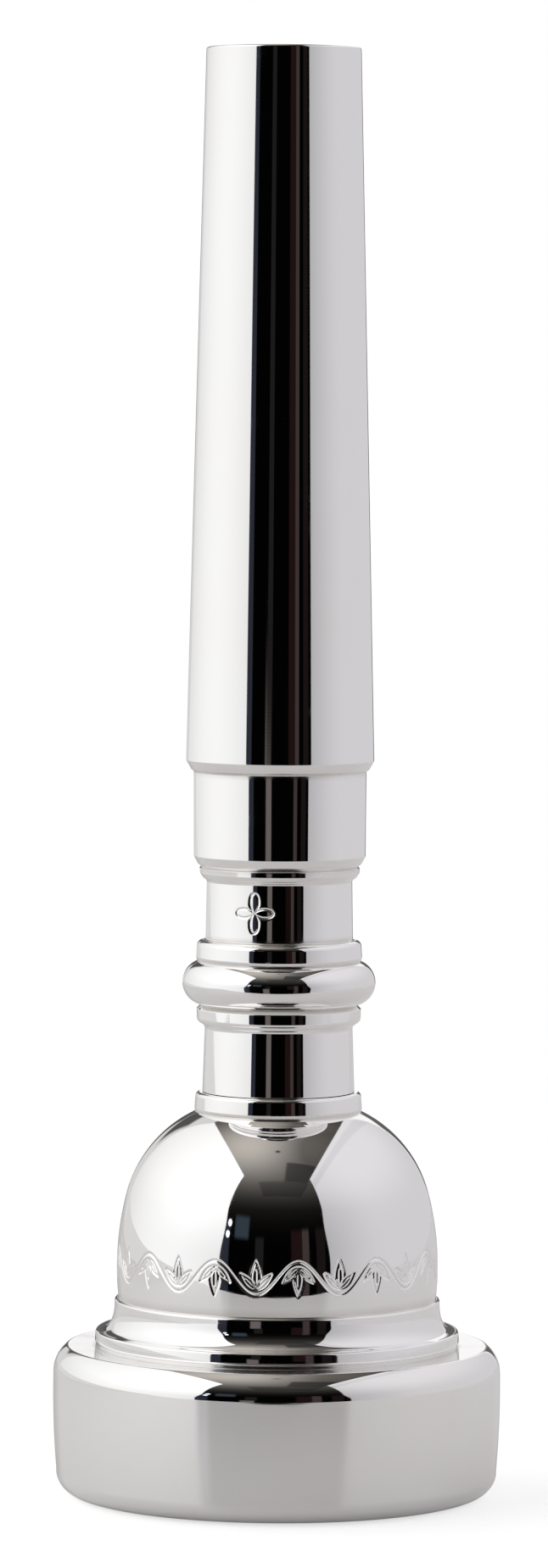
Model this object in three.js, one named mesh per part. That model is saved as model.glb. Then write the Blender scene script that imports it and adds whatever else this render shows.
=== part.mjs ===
// A silver plated brass mouthpiece that unscrews into rim, cup and backbore.
// Millimetres, +Z up. It stands on its rim, with the shank pointing up.
import * as THREE from 'three';

// ---- driving dimensions ------------------------------------------------------
const SEGMENTS = 48;
const TOTAL_LENGTH = 88.0;
const FIT_CLEARANCE = 0.05;
const SEAT_GAP = 0.03;

// rim
const FACE_INNER_RADIUS = 10.6;
const FACE_OUTER_RADIUS = 11.2;
const BITE_RADIUS = 8.5;
const BITE_HEIGHT = 1.9;
const RIM_WALL_RADIUS = 13.645;
const RIM_WALL_BARREL = 55.0;
const RIM_WALL_MIDDLE = 6.3;
const RIM_EDGE_RADIUS = 1.35;
const RIM_SHOULDER_CURVE = 1.97;
const RIM_SHOULDER_MIDDLE = 7.48;
const RIM_SHOULDER_SWEEP = 52.0;
const RIM_CREST_RADIUS = 12.72;
const RIM_CREST_HEIGHT = 9.1;
const RIM_BACK_HEIGHT = 9.08;
const RIM_SEAT_HEIGHT = 9.27;
const RIM_SEAT_RADIUS = 11.0;

// joint between rim and cup
const CUP_SPIGOT_RADIUS = 10.0;
const CUP_SPIGOT_BASE = 4.25;

// bowl, throat and bore
const BOWL_DEPTH = 10.9;
const THROAT_RADIUS = 1.865;
const THROAT_ROUNDING = 2.48;
const THROAT_ROUNDING_TOP = 14.2;
const BORE_START_RADIUS = 1.9;
const BORE_END_RADIUS = 4.2;
const BORE_FLARE = 1.6;

// outside of the cup
const FOOT_RING_RADIUS = 11.1;
const FOOT_RING_TOP = 10.06;
const FOOT_STEP_RADIUS = 9.92;
const COVE_WIDTH = 0.78;
const COVE_HEIGHT = 1.53;
const COVE_TOP = 11.6;
const FOOT_TOP = 12.0;
const DOME_RADIUS = 9.79;
const DOME_MIDDLE = 13.93;
const DOME_SIDE_CURVE = 17.7;
const DOME_SIDE_SWEEP = 14.7;
const DOME_SHOULDER_CURVE = 7.69;
const DOME_SHOULDER_END = 65.0;
const CUP_TOP = 24.65;

// joint between cup and backbore
const STEM_SPIGOT_RADIUS = 3.6;
const STEM_SPIGOT_BASE = 16.0;

// outside of the stem and shank
const BIG_BEAD_MIDDLE = 31.33;
const BIG_BEAD_CURVE = 1.374;
const BIG_BEAD_CENTRE_RADIUS = 4.501;
const BIG_BEAD_SWEEP = 72.0;
const SHANK_START = 44.85;
const SHANK_START_RADIUS = 5.72;
const SHANK_END_RADIUS = 4.685;
const EDGE_BREAK = 0.12;

// ---- profile helpers: a profile is a list of [radius, height] ------------------
const radians = (degrees) => degrees * Math.PI / 180;

// Points on an ellipse arc, from one angle to another.
function ellipseArc(centreR, centreZ, alongR, alongZ, fromDeg, toDeg, steps) {
  const points = [];
  for (let i = 0; i <= steps; i += 1) {
    const angle = radians(fromDeg + (toDeg - fromDeg) * i / steps);
    points.push([centreR + alongR * Math.cos(angle), centreZ + alongZ * Math.sin(angle)]);
  }
  return points;
}

function arc(centreR, centreZ, radius, fromDeg, toDeg, steps) {
  return ellipseArc(centreR, centreZ, radius, radius, fromDeg, toDeg, steps);
}

// A turned solid from a profile that goes up the outside and down the inside.
function turned(name, profile) {
  const closed = [...profile, profile[0]].map(([r, z]) => new THREE.Vector2(r, z));
  const geometry = new THREE.LatheGeometry(closed, SEGMENTS);
  geometry.rotateX(Math.PI / 2);
  const mesh = new THREE.Mesh(geometry, silverPlate());
  mesh.name = name;
  return mesh;
}

// ---- material -------------------------------------------------------------------
function silverPlate() {
  const material = new THREE.MeshStandardMaterial({ color: 0xd9d8d4, metalness: 1.0, roughness: 0.08 });
  material.name = 'silver_plated_brass';
  return material;
}

// ---- inside of the mouthpiece -----------------------------------------------------
// Angle on the bowl's ellipse at a height.
const bowlAngle = (z) => Math.asin((z - BITE_HEIGHT) / BOWL_DEPTH) * 180 / Math.PI;

// The bowl between two ellipse angles.
function bowl(fromDeg, toDeg, steps) {
  return ellipseArc(0, BITE_HEIGHT, BITE_RADIUS, BOWL_DEPTH, fromDeg, toDeg, steps);
}

// Bore radius at a height: it opens quickly above the throat, then slowly.
function boreRadius(z) {
  const t = (z - STEM_SPIGOT_BASE) / (TOTAL_LENGTH - STEM_SPIGOT_BASE);
  return BORE_START_RADIUS + (BORE_END_RADIUS - BORE_START_RADIUS) * (1 - (1 - t) ** BORE_FLARE);
}

// ---- rim -----------------------------------------------------------------------------
function rimWall() {
  const centre = RIM_WALL_RADIUS - RIM_WALL_BARREL;
  const shoulderCentre = RIM_WALL_RADIUS - RIM_SHOULDER_CURVE;
  return [
    ...arc(centre, RIM_WALL_MIDDLE, RIM_WALL_BARREL, -4.95, 0, 3),
    ...arc(shoulderCentre, RIM_SHOULDER_MIDDLE, RIM_SHOULDER_CURVE, 0, RIM_SHOULDER_SWEEP, 5),
  ];
}

function rimProfile() {
  const wall = rimWall();
  const [wallBaseR, wallBaseZ] = wall[0];
  const socketRadius = CUP_SPIGOT_RADIUS + FIT_CLEARANCE;
  const edgeCentre = wallBaseR - RIM_EDGE_RADIUS;
  const lowerEdge = ellipseArc(edgeCentre, wallBaseZ, RIM_EDGE_RADIUS, wallBaseZ - 0.08, -85, 0, 5);
  const innerFace = ellipseArc(FACE_INNER_RADIUS, BITE_HEIGHT, FACE_INNER_RADIUS - BITE_RADIUS, BITE_HEIGHT,
    180, 270, 6);
  return [
    [FACE_OUTER_RADIUS, 0],
    ...lowerEdge,
    ...wall.slice(1),
    [RIM_CREST_RADIUS, RIM_CREST_HEIGHT],
    [RIM_SEAT_RADIUS, RIM_BACK_HEIGHT],
    [RIM_SEAT_RADIUS, RIM_SEAT_HEIGHT],
    [socketRadius + 0.2, RIM_SEAT_HEIGHT],
    [socketRadius, RIM_SEAT_HEIGHT - 0.2],
    [socketRadius, CUP_SPIGOT_BASE],
    ...bowl(bowlAngle(CUP_SPIGOT_BASE), 0, 2),
    ...innerFace.slice(1),
  ];
}

// ---- cup -----------------------------------------------------------------------------
function footAndCove() {
  return [
    [FOOT_RING_RADIUS - 0.1, RIM_SEAT_HEIGHT],
    [FOOT_RING_RADIUS, RIM_SEAT_HEIGHT + 0.18],
    [FOOT_RING_RADIUS - 0.03, RIM_SEAT_HEIGHT + 0.48],
    [FOOT_RING_RADIUS - 0.13, FOOT_RING_TOP],
    ...ellipseArc(FOOT_STEP_RADIUS + COVE_WIDTH, COVE_TOP, COVE_WIDTH, COVE_HEIGHT, 262, 180, 5),
    [FOOT_STEP_RADIUS, FOOT_TOP - 0.1],
    [FOOT_STEP_RADIUS - 0.1, FOOT_TOP],
  ];
}

// Two tangent arcs: the nearly straight side and the round shoulder.
function dome() {
  const sideCentreR = DOME_RADIUS - DOME_SIDE_CURVE;
  const startDeg = Math.asin((FOOT_TOP - DOME_MIDDLE) / DOME_SIDE_CURVE) * 180 / Math.PI;
  const offset = DOME_SIDE_CURVE - DOME_SHOULDER_CURVE;
  const shoulderR = sideCentreR + offset * Math.cos(radians(DOME_SIDE_SWEEP));
  const shoulderZ = DOME_MIDDLE + offset * Math.sin(radians(DOME_SIDE_SWEEP));
  return [
    ...arc(sideCentreR, DOME_MIDDLE, DOME_SIDE_CURVE, startDeg, DOME_SIDE_SWEEP, 4),
    ...arc(shoulderR, shoulderZ, DOME_SHOULDER_CURVE, DOME_SIDE_SWEEP, DOME_SHOULDER_END, 7).slice(1),
  ];
}

function cupBead() {
  return [
    [5.1, 23.62],
    [5.05, 24.4],
    [4.95, 24.59],
    [4.8, CUP_TOP],
  ];
}

function cupProfile() {
  const socketRadius = STEM_SPIGOT_RADIUS + FIT_CLEARANCE;
  const spigotBase = CUP_SPIGOT_BASE + SEAT_GAP;
  const socketBase = STEM_SPIGOT_BASE - SEAT_GAP;
  const rounding = arc(THROAT_RADIUS + THROAT_ROUNDING, THROAT_ROUNDING_TOP, THROAT_ROUNDING, 180, 242.5, 4);
  return [
    [CUP_SPIGOT_RADIUS - 0.3, spigotBase],
    [CUP_SPIGOT_RADIUS, spigotBase + 0.3],
    [CUP_SPIGOT_RADIUS, RIM_SEAT_HEIGHT],
    ...footAndCove(),
    ...dome(),
    ...cupBead(),
    [socketRadius + 0.2, CUP_TOP],
    [socketRadius, CUP_TOP - 0.2],
    [socketRadius, socketBase],
    [THROAT_RADIUS, socketBase],
    ...rounding,
    ...bowl(60, bowlAngle(spigotBase), 6),
  ];
}

// ---- backbore -----------------------------------------------------------------------
function neckAndBeads() {
  return [
    [4.62, CUP_TOP],
    [4.49, 28.5],
    [4.56, 28.72],
    [4.9, 28.96],
    [4.985, 29.15],
    [5.0, 29.72],
    [4.76, 29.97],
    ...arc(BIG_BEAD_CENTRE_RADIUS, BIG_BEAD_MIDDLE, BIG_BEAD_CURVE, -BIG_BEAD_SWEEP, BIG_BEAD_SWEEP, 8),
    [5.05, 32.83],
    [5.03, 33.58],
    [4.9, 33.86],
    [4.48, 33.95],
    [4.425, 37.48],
    [4.66, 37.72],
    [4.84, 37.99],
    [4.87, 38.3],
    [4.74, 38.42],
    [5.0, 38.64],
    [5.225, 39.03],
    [5.25, 44.18],
    [5.41, 44.3],
  ];
}

function shank() {
  return [
    [SHANK_START_RADIUS, SHANK_START],
    [SHANK_END_RADIUS, TOTAL_LENGTH - EDGE_BREAK],
    [SHANK_END_RADIUS - EDGE_BREAK, TOTAL_LENGTH],
    [BORE_END_RADIUS, TOTAL_LENGTH],
  ];
}

// The bore from the shank's end down to the spigot's tip.
function bore() {
  const points = [];
  const steps = 10;
  for (let i = 1; i <= steps; i += 1) {
    const z = TOTAL_LENGTH + (STEM_SPIGOT_BASE - TOTAL_LENGTH) * i / steps;
    points.push([boreRadius(z), z]);
  }
  return points;
}

function backboreProfile() {
  return [
    [STEM_SPIGOT_RADIUS - 0.25, STEM_SPIGOT_BASE],
    [STEM_SPIGOT_RADIUS, STEM_SPIGOT_BASE + 0.25],
    [STEM_SPIGOT_RADIUS, CUP_TOP],
    ...neckAndBeads(),
    ...shank(),
    ...bore(),
  ];
}

// ---- the mouthpiece -------------------------------------------------------------------
const mouthpiece = new THREE.Group();
mouthpiece.name = 'mouthpiece';
mouthpiece.add(turned('rim', rimProfile()));
mouthpiece.add(turned('cup', cupProfile()));
mouthpiece.add(turned('backbore', backboreProfile()));

export default mouthpiece;
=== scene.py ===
import math
from collections import namedtuple

import bpy
import numpy as np
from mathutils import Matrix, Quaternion, Vector


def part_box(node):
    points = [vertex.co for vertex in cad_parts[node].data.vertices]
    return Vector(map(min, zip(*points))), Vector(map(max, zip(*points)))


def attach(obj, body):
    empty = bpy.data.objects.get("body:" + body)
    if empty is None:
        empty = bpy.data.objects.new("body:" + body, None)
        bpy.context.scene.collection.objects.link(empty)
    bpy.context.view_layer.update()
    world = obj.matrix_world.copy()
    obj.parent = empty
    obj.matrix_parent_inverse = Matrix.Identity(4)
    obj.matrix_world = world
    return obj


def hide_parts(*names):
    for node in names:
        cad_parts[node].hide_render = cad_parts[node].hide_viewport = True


# A silver plated brass mouthpiece: rim, cup and backbore, turned and polished.
# Outlines are in millimetres, as (radius, height), and run up the outside and down the inside.
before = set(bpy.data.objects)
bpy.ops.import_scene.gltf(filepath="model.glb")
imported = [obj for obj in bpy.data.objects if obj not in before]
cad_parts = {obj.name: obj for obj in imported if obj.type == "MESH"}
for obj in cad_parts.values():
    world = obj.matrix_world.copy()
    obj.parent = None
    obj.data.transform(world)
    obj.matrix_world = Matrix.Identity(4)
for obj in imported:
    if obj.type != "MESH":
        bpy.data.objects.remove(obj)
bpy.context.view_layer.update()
MM = 0.001

# ---- sizes taken from the frame --------------------------------------------------------
_, RIM_HIGH = (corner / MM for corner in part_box("rim"))
CUP_LOW, CUP_HIGH = (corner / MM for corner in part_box("cup"))
STEM_LOW, STEM_HIGH = (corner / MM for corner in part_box("backbore"))
RIM_RADIUS = RIM_HIGH.x
RIM_SEAT = RIM_HIGH.z
FOOT_RADIUS = CUP_HIGH.x
CUP_BASE = CUP_LOW.z
CUP_TOP = CUP_HIGH.z
STEM_BASE = STEM_LOW.z
TOP = STEM_HIGH.z
BEAD_RADIUS = STEM_HIGH.x

# ---- sizes the boxes don't tell --------------------------------------------------------
RIM_BACK = RIM_SEAT - 0.19
RIM_SHOULDER = 1.97
RIM_SHOULDER_MIDDLE = 7.48
STEP_RADIUS = 9.92
COVE_WIDTH = 0.78
COVE_HEIGHT = 1.53
COVE_TOP = 11.6
FOOT_TOP = 12.0
SPIGOT_RADIUS = 10.0
STEM_SPIGOT_RADIUS = 3.6
CLEARANCE = 0.05
SEAT_GAP = 0.03
BITE_RADIUS = 8.5
BITE_HEIGHT = 1.9
BOWL_DEPTH = 10.9
THROAT_RADIUS = 1.865
THROAT_ROUNDING = 2.48
THROAT_ROUNDING_TOP = 14.2
BORE_START = 1.9
BORE_END = 4.2
BORE_FLARE = 1.6
DOME_RADIUS = 9.79
DOME_MIDDLE = 13.93
DOME_SIDE = 17.7
DOME_SIDE_SWEEP = 14.7
DOME_SHOULDER = 7.69
BEAD_MIDDLE = 31.33
BEAD_CURVE = 1.374
THREAD_PITCH = 0.8
THREAD_DEPTH = 0.28
GRAVER_WIDTH = 0.055
GRAVER_DEPTH = 0.06
VINE_LOW, VINE_HIGH = 13.075, 15.675
VINE_REPEATS = 12
MARK_LOW, MARK_HIGH = 34.45, 37.15
MARK_RADIUS = 4.45
MARK_AZIMUTH = -110
CREASE_WIDTH = 0.14

# ---- how finely the pieces are turned --------------------------------------------------
SEGMENTS = 160
THREAD_SEGMENTS = SEGMENTS // 2
VINE_SEGMENTS = SEGMENTS * 7
MARK_SEGMENTS = SEGMENTS * 4
THREAD_STEP = 0.09
VINE_STEP = 0.055
MARK_STEP = 0.045
FILLET_STEP = 18
CREASE_ROWS = (0.12, 0.28, 0.5)
LONG_STRETCH = 1.2


# ---- outlines --------------------------------------------------------------------------
def corner(r, z, fillet=0.06):
    """A corner of an outline, to be rounded to its fillet."""
    return (r, z, None, fillet)


def ellipse(centre_r, centre_z, along_r, along_z, start, end, steps):
    """Points on an ellipse with their normals: convex where the angle grows, hollow where it shrinks."""
    side = math.copysign(1.0, end - start)
    points = []
    for i in range(steps + 1):
        angle = math.radians(start + (end - start) * i / steps)
        normal = Vector((math.cos(angle) / along_r, math.sin(angle) / along_z)).normalized() * side
        r = centre_r + along_r * math.cos(angle)
        z = centre_z + along_z * math.sin(angle)
        points.append((r, z, normal, 0.0))
    return points


def arc(centre_r, centre_z, radius, start, end, steps):
    return ellipse(centre_r, centre_z, radius, radius, start, end, steps)


def rounded(before, point, after):
    """Rows of (r, z, normal r, normal z, hollow) round one corner."""
    here = Vector(point[:2])
    fillet = point[3]
    way_in = (here - Vector(before[:2])).normalized()
    way_out = (Vector(after[:2]) - here).normalized()
    turn = math.atan2(way_in.x * way_out.y - way_in.y * way_out.x, way_in.dot(way_out))
    side = math.copysign(1.0, turn)
    hollow = float(turn < -0.2 and fillet < 0.15)
    steps = max(2, math.ceil(abs(turn) / math.radians(FILLET_STEP)))
    normal = Vector((way_in.y, -way_in.x))
    start = here - way_in * fillet * math.tan(abs(turn) / 2)
    centre = start - normal * side * fillet
    rows = []
    for i in range(steps + 1):
        angle = turn * i / steps
        turned = Vector((
            normal.x * math.cos(angle) - normal.y * math.sin(angle),
            normal.x * math.sin(angle) + normal.y * math.cos(angle),
        ))
        place = centre + turned * side * fillet
        rows.append((place.x, place.y, turned.x, turned.y, hollow))
    return rows


def rows_of(outline):
    """A closed outline as an array of rows: r, z, normal r, normal z, hollow."""
    rows = []
    for i, point in enumerate(outline):
        if point[2] is None:
            rows += rounded(outline[i - 1], point, outline[(i + 1) % len(outline)])
        else:
            rows.append((point[0], point[1], point[2].x, point[2].y, 0.0))
    return np.array(rows)


Zone = namedtuple("Zone", "low high outside segments step relief")


def with_zone_rows(rows, zone):
    """Adds rows at the zone's step wherever the outline crosses it."""
    made = []
    for i, row in enumerate(rows):
        made.append(row)
        after = rows[(i + 1) % len(rows)]
        rise = after[1] - row[1]
        if (rise > 0) != zone.outside or abs(rise) < 1e-6:
            continue
        shares = sorted(((zone.low - row[1]) / rise, (zone.high - row[1]) / rise))
        start, end = np.clip(shares, 0.0, 1.0)
        count = int(math.ceil((end - start) * abs(rise) / zone.step))
        for share in np.linspace(start, end, count + 1):
            if count and 0.001 < share < 0.999:
                blend = row * (1 - share) + after * share
                blend[2:4] /= np.hypot(blend[2], blend[3])
                blend[4] = 0.0
                made.append(blend)
    return np.array(made)


def with_corner_rows(rows):
    """Adds rows to each long stretch that starts or ends near a crease, so that the crease stays narrow."""
    near = crease_strength(rows) > 0.001
    made = []
    for i, row in enumerate(rows):
        made.append(row)
        after = rows[(i + 1) % len(rows)]
        length = math.hypot(after[0] - row[0], after[1] - row[1])
        if length < LONG_STRETCH or not (near[i] or near[(i + 1) % len(rows)]):
            continue
        shares = [distance / length for distance in CREASE_ROWS]
        shares += [1.0 - share for share in reversed(shares)]
        for share in shares:
            blend = row * (1 - share) + after * share
            blend[4] = 0.0
            made.append(blend)
    return np.array(made)


def zone_of(row, zones):
    for zone in zones:
        if zone.low <= row[1] <= zone.high and (row[2] > 0) == zone.outside:
            return zone
    return None


# ---- meshes ----------------------------------------------------------------------------
def crease_strength(rows):
    """How near each row is to a hollow corner, from 0 to 1."""
    hollow = rows[rows[:, 4] > 0.5]
    gaps = np.hypot(rows[:, None, 0] - hollow[None, :, 0], rows[:, None, 1] - hollow[None, :, 1])
    return np.exp(-(gaps.min(axis=1) / CREASE_WIDTH) ** 2)


def ring_grid(rows, segments, relief):
    """Positions and normals of a band of rings, with an optional relief along the normal."""
    theta = (np.arange(segments) * 2 * math.pi / segments)[None, :]
    r, z, nr, nz = (rows[:, k][:, None] for k in range(4))
    lift = relief(theta, z) if relief else np.zeros((len(rows), segments))
    steps = np.hypot(np.diff(rows[:, 0]), np.diff(rows[:, 1]))
    along = np.concatenate(([0.0], np.cumsum(np.maximum(steps, 1e-5))))
    slope = np.gradient(lift, along, axis=0) if len(rows) > 1 else 0.0 * lift
    spin = (np.roll(lift, -1, axis=1) - np.roll(lift, 1, axis=1)) * segments / (4 * math.pi * r)
    place_r, place_z = r + nr * lift, z + nz * lift
    tilt_r, tilt_z = nr + nz * slope, nz - nr * slope
    cos, sin = np.cos(theta), np.sin(theta)
    places = np.stack((place_r * cos, place_r * sin, place_z), axis=-1)
    normals = np.stack((tilt_r * cos + spin * sin, tilt_r * sin - spin * cos, tilt_z), axis=-1)
    normals /= np.linalg.norm(normals, axis=-1, keepdims=True)
    return places.reshape(-1, 3), normals.reshape(-1, 3)


def ring_faces(low, low_count, high, high_count):
    """Faces between two rings, whose counts may differ by a whole factor."""
    coarse, fine = min(low_count, high_count), max(low_count, high_count)
    if coarse == fine:
        return [(low + i, low + (i + 1) % fine, high + (i + 1) % fine, high + i) for i in range(fine)]
    ratio = fine // coarse
    half = ratio // 2
    faces = []
    for i in range(coarse):
        j = (i + 1) % coarse
        for k in range(ratio):
            here, after = i * ratio + k, (i * ratio + k + 1) % fine
            apex = i if k < half else j
            if low_count == coarse:
                faces.append((low + apex, high + after, high + here))
            else:
                faces.append((low + here, low + after, high + apex))
        middle = i * ratio + half
        if low_count == coarse:
            faces.append((low + i, low + j, high + middle))
        else:
            faces.append((low + middle, high + j, high + i))
    return faces


def turned_piece(node, outline, zones, finish, materials):
    """Turns a closed outline into a mesh that stands for a CAD node."""
    rows = with_corner_rows(rows_of(outline))
    for zone in zones:
        rows = with_zone_rows(rows, zone)
    labels = [zone_of(row, zones) for row in rows]
    creases = crease_strength(rows)
    places, normals, crease, rings = [], [], [], []
    first = 0
    while first < len(rows):
        last = first
        while last < len(rows) and labels[last] is labels[first]:
            last += 1
        zone = labels[first]
        segments = zone.segments if zone else SEGMENTS
        place, normal = ring_grid(rows[first:last], segments, zone and zone.relief)
        for k in range(first, last):
            base = sum(len(p) for p in places) + (k - first) * segments
            rings.append((base, segments, finish(*rows[k][:3])))
        places.append(place)
        normals.append(normal)
        crease.append(np.repeat(creases[first:last], segments))
        first = last
    faces, slots = [], []
    for i, (base, count, number) in enumerate(rings):
        new = ring_faces(base, count, *rings[(i + 1) % len(rings)][:2])
        faces += new
        slots += [number] * len(new)
    mesh = bpy.data.meshes.new(node + "_turned")
    mesh.from_pydata((np.concatenate(places) * MM).tolist(), [], faces)
    for material in materials:
        mesh.materials.append(material)
    mesh.polygons.foreach_set("use_smooth", [True] * len(faces))
    mesh.polygons.foreach_set("material_index", slots)
    mesh.attributes.new("crease", "FLOAT", "POINT").data.foreach_set("value", np.concatenate(crease))
    mesh.normals_split_custom_set_from_vertices(np.concatenate(normals).tolist())
    piece = bpy.data.objects.new(node + "_turned", mesh)
    bpy.context.scene.collection.objects.link(piece)
    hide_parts(node)
    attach(piece, node)


# ---- relief: threads and engraving -----------------------------------------------------
def fade(z, low, high, width):
    """1 between two heights, falling to 0 over a width inside each."""
    return np.clip(np.minimum(z - low, high - z) / width, 0.0, 1.0)


def thread(low, high, pitch, depth):
    """A right-hand thread cut into a surface between two heights."""
    def relief(theta, z):
        turn = (z / pitch - theta / (2 * math.pi)) % 1.0
        groove = np.clip((0.5 - np.abs(turn - 0.5)) * 2.6 - 0.2, 0.0, 1.0)
        return -depth * groove * fade(z, low, high, pitch)
    return relief


def cut(distance, width=GRAVER_WIDTH):
    """A graver's cut: a shallow V with a soft edge."""
    return -GRAVER_DEPTH * np.exp(-(distance / width) ** 2)


def leaf_lines(across, up, lean, length, width):
    """Distance to the outline and midrib of a pointed leaf that hangs down from a point, at an angle."""
    along = -up * math.cos(lean) + across * math.sin(lean)
    aside = np.abs(across * math.cos(lean) + up * math.sin(lean))
    share = np.clip(along / length, 0.0, 1.0)
    beyond = np.abs(along - share * length)
    edge = np.abs(aside - width * np.sin(math.pi * share ** 0.8))
    rib = aside + 2.0 * np.clip(np.abs(share - 0.42) - 0.25, 0.0, 1.0)
    return np.minimum(edge + beyond, rib)


def vine_band(low, high, radius, repeats):
    """A running vine engraved right round, with three leaves in each bend."""
    middle = (low + high) / 2
    swing = (high - low) / 2 * 0.775
    wave = 2 * math.pi * radius / repeats
    bend = 2 * math.pi / wave
    def relief(theta, z):
        x = theta * radius
        y = z - middle
        steep = np.sqrt(1 + (swing * bend * np.cos(bend * x)) ** 2)
        lift = cut(np.abs(y - swing * np.sin(bend * x)) / steep)
        for side, centre in ((1, 0.25), (-1, 0.75)):
            across = (x - centre * wave + wave / 2) % wave - wave / 2
            up = y * side - 0.68 * swing
            for lean, length, width in ((0.0, 1.75, 0.27), (0.78, 1.35, 0.2), (-0.78, 1.35, 0.2)):
                lift = np.minimum(lift, cut(leaf_lines(across, up, lean, length, width)))
        return lift * fade(z, low, high, 0.15)
    return relief


def petal_mark(low, high, radius, azimuth):
    """A small engraved flower of four petals."""
    middle = (low + high) / 2
    size = (high - low) / 2 - 0.15
    def relief(theta, z):
        x = ((theta - azimuth + math.pi) % (2 * math.pi) - math.pi) * radius
        y = z - middle
        turn = np.arctan2(y, x)
        reach = size * (0.56 + 0.44 * np.cos(4 * turn))
        steep = np.sqrt(1 + (1.76 * size * np.sin(4 * turn) / np.maximum(reach, 0.2)) ** 2)
        outline = np.abs(np.hypot(x, y) - reach) / steep
        return cut(outline, 0.05) * fade(z, low, high, 0.1)
    return relief


# ---- outlines of the three pieces ------------------------------------------------------
def bowl(start, end, steps):
    return ellipse(0, BITE_HEIGHT, BITE_RADIUS, BOWL_DEPTH, start, end, steps)


def bowl_angle(z):
    return math.degrees(math.asin((z - BITE_HEIGHT) / BOWL_DEPTH))


def rim_outline():
    wall_curve = 55.0
    wall_middle = 6.3
    wall_sweep = 4.95
    edge_curve = 1.35
    edge_middle = 1.43
    face_outer = 11.2
    face_inner = 10.6
    face_curve = 4.0
    wall = arc(RIM_RADIUS - wall_curve, wall_middle, wall_curve, -wall_sweep, 0, 12)
    edge_centre = wall[0][0] - edge_curve * math.cos(math.radians(wall_sweep))
    shoulder_centre = RIM_RADIUS - RIM_SHOULDER - 0.008
    socket = SPIGOT_RADIUS + CLEARANCE
    socket_end = CUP_BASE - SEAT_GAP
    bowl_edge = BITE_RADIUS * math.cos(math.radians(bowl_angle(socket_end)))
    return [
        *arc(face_outer, face_curve, face_curve, -90, -80, 4),
        *arc(edge_centre, edge_middle, edge_curve, -76, -5.0, 14),
        *wall,
        *arc(shoulder_centre, RIM_SHOULDER_MIDDLE, RIM_SHOULDER, 0.65, 52, 24),
        *arc(12.73, RIM_BACK - 0.2, 0.22, 56, 92, 6),
        corner(FOOT_RADIUS - 0.1, RIM_BACK, 0.05),
        corner(FOOT_RADIUS - 0.1, RIM_SEAT, 0.02),
        corner(socket + 0.2, RIM_SEAT, 0.03),
        corner(socket, RIM_SEAT - 0.2, 0.03),
        corner(socket, socket_end, 0.15),
        corner(bowl_edge, socket_end, 0.03),
        *bowl(bowl_angle(CUP_BASE - 0.15), 0.5, 6),
        *ellipse(face_inner, BITE_HEIGHT, face_inner - BITE_RADIUS, BITE_HEIGHT, 180, 270, 20),
    ]


def cup_outline():
    side_centre = DOME_RADIUS - DOME_SIDE
    offset = DOME_SIDE - DOME_SHOULDER
    shoulder_r = side_centre + offset * math.cos(math.radians(DOME_SIDE_SWEEP))
    shoulder_z = DOME_MIDDLE + offset * math.sin(math.radians(DOME_SIDE_SWEEP))
    foot_angle = math.degrees(math.asin((FOOT_TOP - DOME_MIDDLE) / DOME_SIDE))
    socket = STEM_SPIGOT_RADIUS + CLEARANCE
    socket_end = STEM_BASE - SEAT_GAP
    return [
        corner(SPIGOT_RADIUS - 0.3, CUP_BASE, 0.05),
        corner(SPIGOT_RADIUS, CUP_BASE + 0.3, 0.05),
        corner(SPIGOT_RADIUS, RIM_SEAT, 0.05),
        corner(FOOT_RADIUS - 0.1, RIM_SEAT, 0.02),
        *arc(FOOT_RADIUS - 0.18, RIM_SEAT + 0.18, 0.18, -58, -2, 5),
        *arc(FOOT_RADIUS - 5.0, RIM_SEAT + 0.1, 5.0, 1, 6, 4),
        corner(FOOT_RADIUS - 0.05, RIM_SEAT + 0.79, 0.15),
        *ellipse(STEP_RADIUS + COVE_WIDTH, COVE_TOP, COVE_WIDTH, COVE_HEIGHT, 262, 180, 16),
        corner(STEP_RADIUS, FOOT_TOP, 0.18),
        corner(DOME_RADIUS - 0.11, FOOT_TOP, 0.04),
        *arc(side_centre, DOME_MIDDLE, DOME_SIDE, foot_angle + 0.3, DOME_SIDE_SWEEP, 14),
        *arc(shoulder_r, shoulder_z, DOME_SHOULDER, DOME_SIDE_SWEEP, 64.3, 26)[1:],
        corner(5.055, 23.435, 0.02),
        corner(5.1, 23.64, 0.2),
        corner(5.03, CUP_TOP - 0.03, 0.26),
        corner(socket + 0.2, CUP_TOP, 0.03),
        corner(socket, CUP_TOP - 0.2, 0.03),
        corner(socket, socket_end, 0.1),
        corner(THROAT_RADIUS, socket_end, 0.04),
        *arc(THROAT_RADIUS + THROAT_ROUNDING, THROAT_ROUNDING_TOP, THROAT_ROUNDING, 180, 242.5, 10),
        *bowl(67.0, bowl_angle(CUP_BASE + 0.1), 18),
    ]


def bore(steps):
    """Points down the bore, which opens quickly above the throat and then slowly."""
    points = []
    span = TOP - STEM_BASE
    for i in range(1, steps):
        share = 1 - i / steps
        r = BORE_START + (BORE_END - BORE_START) * (1 - (1 - share) ** BORE_FLARE)
        rise = (BORE_END - BORE_START) * BORE_FLARE * (1 - share) ** (BORE_FLARE - 1) / span
        points.append((r, STEM_BASE + share * span, Vector((-1.0, rise)).normalized(), 0.0))
    return points


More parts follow.
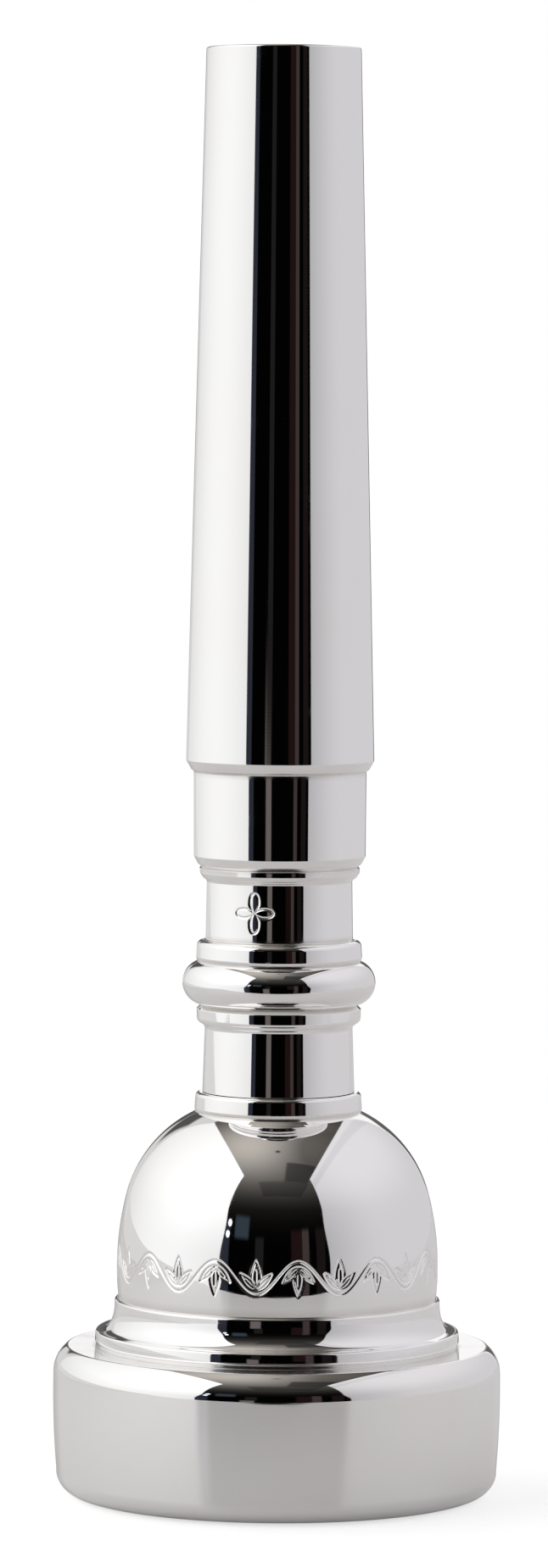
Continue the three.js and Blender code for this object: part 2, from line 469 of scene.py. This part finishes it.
def backbore_outline():
    bead_centre = BEAD_RADIUS - BEAD_CURVE
    return [
        corner(STEM_SPIGOT_RADIUS - 0.25, STEM_BASE, 0.04),
        corner(STEM_SPIGOT_RADIUS, STEM_BASE + 0.25, 0.04),
        corner(STEM_SPIGOT_RADIUS, CUP_TOP, 0.05),
        corner(4.63, CUP_TOP, 0.05),
        corner(4.49, 28.66, 0.3),
        corner(4.985, 29.01, 0.3),
        corner(5.0, 29.72, 0.06),
        corner(4.74, 29.976, 0.03),
        *arc(bead_centre, BEAD_MIDDLE, BEAD_CURVE, -77.5, 68.3, 30),
        corner(4.98, 32.618, 0.015),
        corner(5.05, 32.86, 0.3),
        corner(5.0, 33.86, 0.4),
        corner(4.48, 33.95, 0.1),
        corner(4.425, 37.56, 0.2),
        corner(4.66, 37.72, 0.2),
        corner(4.84, 37.99, 0.06),
        corner(4.87, 38.31, 0.05),
        corner(4.75, 38.38, 0.03),
        corner(4.98, 38.57, 0.3),
        corner(5.225, 39.03, 0.08),
        corner(5.25, 44.2, 0.14),
        corner(5.41, 44.3, 0.25),
        corner(5.72, 44.85, 0.08),
        corner(4.685, TOP, 0.14),
        corner(BORE_END, TOP, 0.1),
        *bore(24),
        corner(BORE_START, STEM_BASE, 0.04),
    ]


# ---- materials -------------------------------------------------------------------------
SILVER_TINT = (0.975, 0.970, 0.965)
TARNISH_TINT = (0.45, 0.40, 0.34)


def add(tree, kind, **settings):
    """A node, with plain settings on itself and numbers on its inputs."""
    node = tree.nodes.new(kind)
    for key, value in settings.items():
        if hasattr(node, key):
            setattr(node, key, value)
        else:
            node.inputs[key.replace("_", " ")].default_value = value
    return node


def fresh_tree(owner, output):
    """An empty node tree for a material or world, with the input of its output node."""
    owner.use_nodes = True
    tree = owner.node_tree
    tree.nodes.clear()
    return tree, tree.nodes.new(output).inputs["Surface"]


def blended(tree, share, a, b):
    """A mix of two shaders, in which the second takes the share."""
    mix = tree.nodes.new("ShaderNodeMixShader")
    for value, socket in zip((share, a.outputs[0], b.outputs[0]), mix.inputs):
        tree.links.new(value, socket)
    return mix


def seen_directly(tree):
    """1 where the camera looks straight at it, 0 in reflections."""
    return tree.nodes.new("ShaderNodeLightPath").outputs["Is Camera Ray"]


def maths(tree, operation, a, b=0.0):
    node = tree.nodes.new("ShaderNodeMath")
    node.operation = operation
    for socket, value in zip(node.inputs, (a, b)):
        if isinstance(value, bpy.types.NodeSocket):
            tree.links.new(value, socket)
        else:
            socket.default_value = value
    return node.outputs[0]


def smooth(tree, value, low, high, at_low=0.0, at_high=1.0):
    node = tree.nodes.new("ShaderNodeMapRange")
    node.interpolation_type = "SMOOTHSTEP"
    tree.links.new(value, node.inputs["Value"])
    for name, number in zip(("From Min", "From Max", "To Min", "To Max"), (low, high, at_low, at_high)):
        node.inputs[name].default_value = number
    return node.outputs[0]


def mixed(tree, share, a, b):
    node = tree.nodes.new("ShaderNodeMix")
    node.data_type = "RGBA"
    for name, value in (("Factor", share), (6, a), (7, b)):
        socket = node.inputs[name] if isinstance(name, int) else node.inputs[0]
        if isinstance(value, bpy.types.NodeSocket):
            tree.links.new(value, socket)
        elif isinstance(value, (int, float)):
            socket.default_value = value
        else:
            socket.default_value = (*value, 1.0)
    return node.outputs[2]


def silver(name, roughness, spread, mark_depth):
    """Silver plate: faint turning lines, hairline scratches and a warm tarnish in the creases."""
    material = bpy.data.materials.new(name)
    tree, surface = fresh_tree(material, "ShaderNodeOutputMaterial")
    shader = add(tree, "ShaderNodeBsdfPrincipled", Metallic=1.0)
    tree.links.new(shader.outputs[0], surface)
    place = tree.nodes.new("ShaderNodeTexCoord").outputs["Object"]

    def noise(scale, stretch=(1.0, 1.0, 1.0), detail=2.0):
        mapping = add(tree, "ShaderNodeMapping", Scale=stretch)
        tree.links.new(place, mapping.inputs["Vector"])
        texture = add(tree, "ShaderNodeTexNoise", Scale=scale, Detail=detail)
        tree.links.new(mapping.outputs[0], texture.inputs["Vector"])
        return texture.outputs["Fac"]

    crease = add(tree, "ShaderNodeAttribute", attribute_name="crease").outputs["Fac"]
    clouds = noise(160.0, detail=3.0)
    tarnish = maths(tree, "MULTIPLY", crease, smooth(tree, clouds, 0.25, 0.75, 0.1, 0.45))
    bloom = smooth(tree, noise(90.0, detail=4.0), 0.45, 0.8)
    bloomed = tuple(c * s for c, s in zip(SILVER_TINT, (0.985, 0.975, 0.955)))
    plate = mixed(tree, bloom, SILVER_TINT, bloomed)
    colour = mixed(tree, tarnish, plate, TARNISH_TINT)
    tree.links.new(colour, shader.inputs["Base Color"])

    scuffs = smooth(tree, noise(420.0, detail=5.0), 0.5, 0.8, 0.0, spread)
    rough = maths(tree, "ADD", scuffs, maths(tree, "MULTIPLY", crease, 0.12))
    tree.links.new(maths(tree, "ADD", rough, roughness), shader.inputs["Roughness"])

    lines = noise(1.0, (0.0, 0.0, 9000.0), 1.0)
    scratch = smooth(tree, noise(70.0, (1.0, 22.0, 9.0), 1.0), 0.70, 0.72)
    height = maths(tree, "SUBTRACT", lines, maths(tree, "MULTIPLY", scratch, 0.8))
    bump = add(tree, "ShaderNodeBump", Strength=1.0, Distance=mark_depth)
    tree.links.new(height, bump.inputs["Height"])
    tree.links.new(bump.outputs[0], shader.inputs["Normal"])
    return material


# ---- studio ----------------------------------------------------------------------------
FRONT_LEFT = 42.3
FRONT_RIGHT = 38.4
PANEL_SLOPE = 2.12

# dark patches on the ceiling: west, east, near and far side, strength, grey
CEILING_PATCHES = (
    (-0.3, 0.5, 0.85, 1.4, 0.45, 0.01),
    (0.1, 0.47, 0.385, 0.85, 0.75, 0.02),
    (-0.02, 0.02, 0.15, 0.19, 1.0, 0.01),
)

# upright bands in the dark room in front: azimuth, half width, lower and upper end, colour
ROOM_BANDS = (
    (-39.3, 3.8, -0.7, 0.3, (0.022, 0.025, 0.036)),
    (-26.5, 5.0, 0.19, 0.33, (0.030, 0.042, 0.055)),
    (-15.0, 3.6, -0.7, -0.005, (0.125, 0.11, 0.105)),
    (-13.0, 3.0, -0.005, 0.2, (0.012, 0.011, 0.011)),
    (14.5, 4.5, -0.05, 0.25, (0.013, 0.006, 0.006)),
    (20.5, 2.4, -0.7, 0.25, (0.045, 0.035, 0.034)),
    (31.5, 3.2, -0.7, 0.25, (0.010, 0.007, 0.007)),
)

# lamps in that room: azimuth and elevation
ROOM_LAMPS = ((-36.0, 16.2), (-37.0, 11.9))
LAMP_SIZE = 1.6
LAMP_COLOUR = (1.6, 1.7, 1.9)

# dark gaps in the paper wall behind: west and east side, softness, lower and upper end
WALL_GAPS = (
    (0.045, 0.26, 0.012, -0.12, 0.22),
    (-0.20, -0.035, 0.012, -0.03, 0.2),
    (-0.36, -0.06, 0.03, 0.2, 0.46),
)
GAP_COLOUR = (0.02, 0.018, 0.016)

CEILING_TINT = (0.345, 0.32, 0.295)
LEFT_TINT = (1.0, 1.0, 1.003)
RIGHT_TINT = (1.0, 0.985, 1.015)
WALL_DIM = (0.66, 0.655, 0.65)
WALL_BRIGHT = (0.98, 0.97, 0.97)


def studio():
    """Two tall white panels left and right, a paper wall behind, a grey ceiling and a dark room in front."""
    world = bpy.data.worlds.new("studio")
    bpy.context.scene.world = world
    tree, surface = fresh_tree(world, "ShaderNodeOutputWorld")
    coordinates = tree.nodes.new("ShaderNodeTexCoord").outputs["Generated"]
    way = add(tree, "ShaderNodeSeparateXYZ")
    tree.links.new(coordinates, way.inputs[0])
    x, y, z = way.outputs
    left = maths(tree, "MULTIPLY", x, -1.0)
    front = maths(tree, "MULTIPLY", y, -1.0)
    lean = smooth(tree, z, 0.0, 0.3, 0.0, 0.055)

    def panel(sideways, front_edge):
        """Where a panel beside the object is seen, from its front edge back."""
        edge = math.radians(front_edge)
        beyond = maths(tree, "SUBTRACT", maths(tree, "MULTIPLY", front, math.sin(edge)),
                       maths(tree, "MULTIPLY", sideways, math.cos(edge)))
        beyond = maths(tree, "SUBTRACT", beyond, lean)
        above = maths(tree, "SUBTRACT", z, maths(tree, "MULTIPLY", sideways, PANEL_SLOPE))
        inside = maths(tree, "MULTIPLY", smooth(tree, beyond, -0.006, 0.006, 1.0, 0.0),
                       smooth(tree, above, -0.012, 0.012, 1.0, 0.0))
        return maths(tree, "MULTIPLY", inside, smooth(tree, sideways, -0.002, 0.002))

    def between(value, low, high, soft):
        """1 where a value is between two others, with soft ends."""
        return maths(tree, "MULTIPLY", smooth(tree, value, low - soft, low + soft),
                     smooth(tree, value, high - soft, high + soft, 1.0, 0.0))

    def band(centre, width, low, high):
        """A soft upright band in the dark front, at an azimuth, between two heights."""
        edge = math.radians(centre)
        off = maths(tree, "ADD", maths(tree, "MULTIPLY", x, math.cos(edge)),
                    maths(tree, "MULTIPLY", y, math.sin(edge)))
        half = math.radians(width)
        near = between(off, -half, half, half * 0.2)
        ahead = smooth(tree, front, 0.0, 0.1)
        return maths(tree, "MULTIPLY", maths(tree, "MULTIPLY", near, ahead), between(z, low, high, 0.02))

    def on_ceiling(west, east, near, far):
        """A rectangle on the ceiling, in units of its height above the object."""
        up = maths(tree, "MAXIMUM", z, 0.05)
        across = between(maths(tree, "DIVIDE", x, up), west, east, 0.02)
        along = between(maths(tree, "DIVIDE", front, up), near, far, 0.02)
        return maths(tree, "MULTIPLY", across, along)

    def lamp(azimuth, elevation, size):
        """A small round light in the room, seen at an azimuth and an elevation."""
        turn, rise = math.radians(azimuth), math.radians(elevation)
        near = add(tree, "ShaderNodeVectorMath", operation="DOT_PRODUCT")
        tree.links.new(coordinates, near.inputs[0])
        near.inputs[1].default_value = (math.sin(turn) * math.cos(rise), -math.cos(turn) * math.cos(rise),
                                        math.sin(rise))
        edge, core = math.cos(math.radians(size)), math.cos(math.radians(size * 0.6))
        return smooth(tree, near.outputs["Value"], edge, core)

    def tinted(value, tint):
        scaled = add(tree, "ShaderNodeVectorMath", operation="SCALE")
        scaled.inputs[0].default_value = tint
        tree.links.new(value, scaled.inputs["Scale"])
        return scaled.outputs[0]

    def ceiling():
        """Brighter to the left, falling to the dark room in front, with a few dark patches."""
        climb = maths(tree, "POWER", maths(tree, "MAXIMUM", z, 0.0), 4.0)
        slant = maths(tree, "ADD", maths(tree, "MULTIPLY", maths(tree, "MULTIPLY", x, climb), -3.0), 1.0)
        climb = maths(tree, "MULTIPLY", climb, maths(tree, "MAXIMUM", slant, 0.4))
        climb = maths(tree, "ADD", climb, 0.002)
        colour = tinted(climb, CEILING_TINT)
        for west, east, near, far, strength, grey in CEILING_PATCHES:
            patch = maths(tree, "MULTIPLY", on_ceiling(west, east, near, far), strength)
            colour = mixed(tree, patch, colour, (grey, grey, grey))
        return colour

    def with_room(colour):
        """Adds what stands in the dark room in front."""
        for azimuth, half_width, low, high, shade in ROOM_BANDS:
            colour = mixed(tree, band(azimuth, half_width, low, high), colour, shade)
        for azimuth, elevation in ROOM_LAMPS:
            colour = mixed(tree, lamp(azimuth, elevation, LAMP_SIZE), colour, LAMP_COLOUR)
        return colour

    def with_left_panel(colour):
        """Adds the left panel, dimmer towards both ends and brighter higher up."""
        end_fall = maths(tree, "MULTIPLY", front, front)
        rise = smooth(tree, front, -0.4, 0.4, 0.08, 0.22)
        rise = maths(tree, "MULTIPLY", smooth(tree, z, 0.0, 0.45), rise)
        level = maths(tree, "SUBTRACT", 0.96, maths(tree, "MULTIPLY", end_fall, 0.24))
        level = maths(tree, "ADD", level, rise)
        return mixed(tree, panel(left, FRONT_LEFT), colour, tinted(level, LEFT_TINT))

    def with_right_panel(colour):
        """Adds the right panel, dimmer towards the front, with a slightly darker fold."""
        ahead = maths(tree, "MAXIMUM", front, 0.0)
        front_fall = maths(tree, "MULTIPLY", ahead, ahead)
        rise = smooth(tree, z, 0.1, 0.7, 0.0, 0.13)
        level = maths(tree, "SUBTRACT", 0.63, maths(tree, "MULTIPLY", front_fall, 0.29))
        level = maths(tree, "ADD", level, rise)
        above = maths(tree, "SUBTRACT", z, maths(tree, "MULTIPLY", x, PANEL_SLOPE))
        fold = between(above, -0.26, -0.1, 0.03)
        level = maths(tree, "ADD", level, maths(tree, "MULTIPLY", fold, -0.08))
        return mixed(tree, panel(x, FRONT_RIGHT), colour, tinted(level, RIGHT_TINT))

    def with_paper_wall(colour):
        """Adds the paper wall behind, with its dark gaps."""
        wide = maths(tree, "ADD", maths(tree, "MULTIPLY", y, -0.5), left)
        wall = maths(tree, "MULTIPLY", smooth(tree, wide, -0.02, 0.02, 1.0, 0.0), smooth(tree, y, 0.0, 0.1))
        wall = maths(tree, "MULTIPLY", wall, smooth(tree, x, 0.26, 0.30, 1.0, 0.0))
        low_wall = smooth(tree, maths(tree, "SUBTRACT", z, y), -0.03, 0.03, 1.0, 0.0)
        paper = mixed(tree, smooth(tree, x, -0.14, -0.06), WALL_DIM, WALL_BRIGHT)
        colour = mixed(tree, maths(tree, "MULTIPLY", wall, low_wall), colour, paper)
        gap = 0.0
        for west, east, soft, low, high in WALL_GAPS:
            opening = maths(tree, "MULTIPLY", between(x, west, east, soft), between(z, low, high, 0.03))
            gap = maths(tree, "MAXIMUM", gap, opening)
        gap = maths(tree, "MULTIPLY", gap, smooth(tree, y, 0.0, 0.1, 0.0, 0.9))
        return mixed(tree, gap, colour, GAP_COLOUR)

    colour = with_paper_wall(with_right_panel(with_left_panel(with_room(ceiling()))))
    light = add(tree, "ShaderNodeBackground", Strength=1.0)
    tree.links.new(colour, light.inputs["Color"])
    plain = add(tree, "ShaderNodeBackground", Color=(1.0, 1.0, 1.0, 1.0), Strength=1.0)
    both = blended(tree, seen_directly(tree), light, plain)
    tree.links.new(both.outputs[0], surface)


def stage_sheet(name, corners, material):
    """One flat face of the studio."""
    mesh = bpy.data.meshes.new(name)
    mesh.from_pydata(corners, [], [tuple(range(len(corners)))])
    mesh.materials.append(material)
    sheet = bpy.data.objects.new(name, mesh)
    bpy.context.scene.collection.objects.link(sheet)


def floor():
    """A pale paper floor that takes a soft shadow and fades into the background."""
    reach = 0.6
    front_end = -0.0722
    side_end = 0.234
    material = bpy.data.materials.new("pale_paper")
    tree, surface = fresh_tree(material, "ShaderNodeOutputMaterial")
    place = tree.nodes.new("ShaderNodeTexCoord").outputs["Object"]
    split = add(tree, "ShaderNodeSeparateXYZ")
    tree.links.new(place, split.inputs[0])
    length = add(tree, "ShaderNodeVectorMath", operation="LENGTH")
    tree.links.new(place, length.inputs[0])
    aside = maths(tree, "ABSOLUTE", split.outputs["X"])
    seen = seen_directly(tree)
    matt = add(tree, "ShaderNodeBsdfDiffuse", Color=(0.86, 0.86, 0.86, 1.0))
    glow = add(tree, "ShaderNodeEmission", Color=(1.0, 1.0, 1.0, 1.0), Strength=0.60)
    pale = tree.nodes.new("ShaderNodeAddShader")
    tree.links.new(matt.outputs[0], pale.inputs[0])
    tree.links.new(glow.outputs[0], pale.inputs[1])
    sheet = add(tree, "ShaderNodeBsdfPrincipled", Base_Color=(0.87, 0.86, 0.855, 1.0), Roughness=0.28)
    sheet.inputs["Emission Color"].default_value = (1.0, 0.99, 0.985, 1.0)
    sheet.inputs["Emission Strength"].default_value = 0.055
    clear = tree.nodes.new("ShaderNodeBsdfTransparent")
    camera_fade = smooth(tree, length.outputs["Value"], 0.10, 0.30)
    paper_end = maths(tree, "MAXIMUM",
                      smooth(tree, split.outputs["Y"], front_end - 0.0002, front_end + 0.0002, 1.0, 0.0),
                      smooth(tree, aside, side_end - 0.002, side_end + 0.002))
    paper_end = maths(tree, "MAXIMUM", paper_end, smooth(tree, split.outputs["Y"], 0.3, 0.4))
    share = maths(tree, "ADD", maths(tree, "MULTIPLY", seen, camera_fade),
                  maths(tree, "MULTIPLY", maths(tree, "SUBTRACT", 1.0, seen), paper_end))
    lit = blended(tree, seen, sheet, pale)
    both = blended(tree, share, lit, clear)
    tree.links.new(both.outputs[0], surface)
    corners = [(-reach, -reach, 0), (reach, -reach, 0), (reach, reach, 0), (-reach, reach, 0)]
    stage_sheet("floor", corners, material)


def low_card():
    """A low pale card on the left, seen only in reflections: its sloping top shows low on the dome."""
    side = -0.150
    top = [(-0.09, 0.0), (-0.043, 0.0055), (0.038, 0.0137), (0.10, 0.0185), (0.26, 0.023)]
    corners = [(side, y, z) for y, z in top] + [(side, top[-1][0], 0.0)]
    material = bpy.data.materials.new("card")
    tree, surface = fresh_tree(material, "ShaderNodeOutputMaterial")
    pale = add(tree, "ShaderNodeEmission", Color=(0.69, 0.685, 0.68, 1.0), Strength=1.0)
    clear = tree.nodes.new("ShaderNodeBsdfTransparent")
    both = blended(tree, seen_directly(tree), pale, clear)
    tree.links.new(both.outputs[0], surface)
    stage_sheet("low_card", corners, material)


def camera():
    """A long lens 425 mm in front, 68 mm above the floor, looking slightly down."""
    data = bpy.data.cameras.new("camera")
    data.sensor_fit = "VERTICAL"
    data.sensor_height = 36.0
    data.lens = 160.7
    data.clip_start = 0.01
    data.clip_end = 20.0
    eye = bpy.data.objects.new("camera", data)
    bpy.context.scene.collection.objects.link(eye)
    eye.location = (0.0, -0.425, 0.068)
    aim = Vector((-0.000365, 0.0, 0.0434))
    lean = Quaternion((0.0, 0.0, 1.0), math.radians(0.32))
    eye.rotation_euler = ((aim - eye.location).to_track_quat("-Z", "Y") @ lean).to_euler()
    bpy.context.scene.camera = eye


# ---- the scene -------------------------------------------------------------------------
MIRROR, TURNED = 0, 1


def rim_finish(r, z, nr):
    return TURNED if r > SPIGOT_RADIUS - 1.5 and nr < 0.5 and CUP_BASE - 0.1 < z < RIM_SEAT else MIRROR


def cup_finish(r, z, nr):
    spigot = z < RIM_SEAT and nr > -0.5 and r > BITE_RADIUS
    socket = r < STEM_SPIGOT_RADIUS + 0.2 and z > STEM_BASE - 0.1
    return TURNED if spigot or socket else MIRROR


def backbore_finish(r, z, nr):
    return TURNED if z < CUP_TOP or nr < -0.5 else MIRROR


def thread_zones(low, high):
    """The threaded stretch of a spigot and that of its socket."""
    relief = thread(low, high, THREAD_PITCH, THREAD_DEPTH)
    return [Zone(low, high, outside, THREAD_SEGMENTS, THREAD_STEP, relief) for outside in (True, False)]


def build_pieces():
    finishes = [
        silver("silver_mirror", 0.03, 0.05, 0.0000002),
        silver("silver_turned", 0.16, 0.12, 0.0000030),
    ]
    spigot, socket = thread_zones(CUP_BASE + 0.5, RIM_SEAT - 0.5)
    turned_piece("rim", rim_outline(), [socket], rim_finish, finishes)

    stem_spigot, stem_socket = thread_zones(STEM_BASE + 3.0, CUP_TOP - 0.6)
    relief = vine_band(VINE_LOW, VINE_HIGH, DOME_RADIUS, VINE_REPEATS)
    vine = Zone(VINE_LOW, VINE_HIGH, True, VINE_SEGMENTS, VINE_STEP, relief)
    turned_piece("cup", cup_outline(), [spigot, vine, stem_socket], cup_finish, finishes)

    relief = petal_mark(MARK_LOW, MARK_HIGH, MARK_RADIUS, math.radians(MARK_AZIMUTH))
    mark = Zone(MARK_LOW, MARK_HIGH, True, MARK_SEGMENTS, MARK_STEP, relief)
    turned_piece("backbore", backbore_outline(), [stem_spigot, mark], backbore_finish, finishes)


camera()
studio()
floor()
low_card()
build_pieces()
bpy.context.scene.view_settings.view_transform = "Standard"
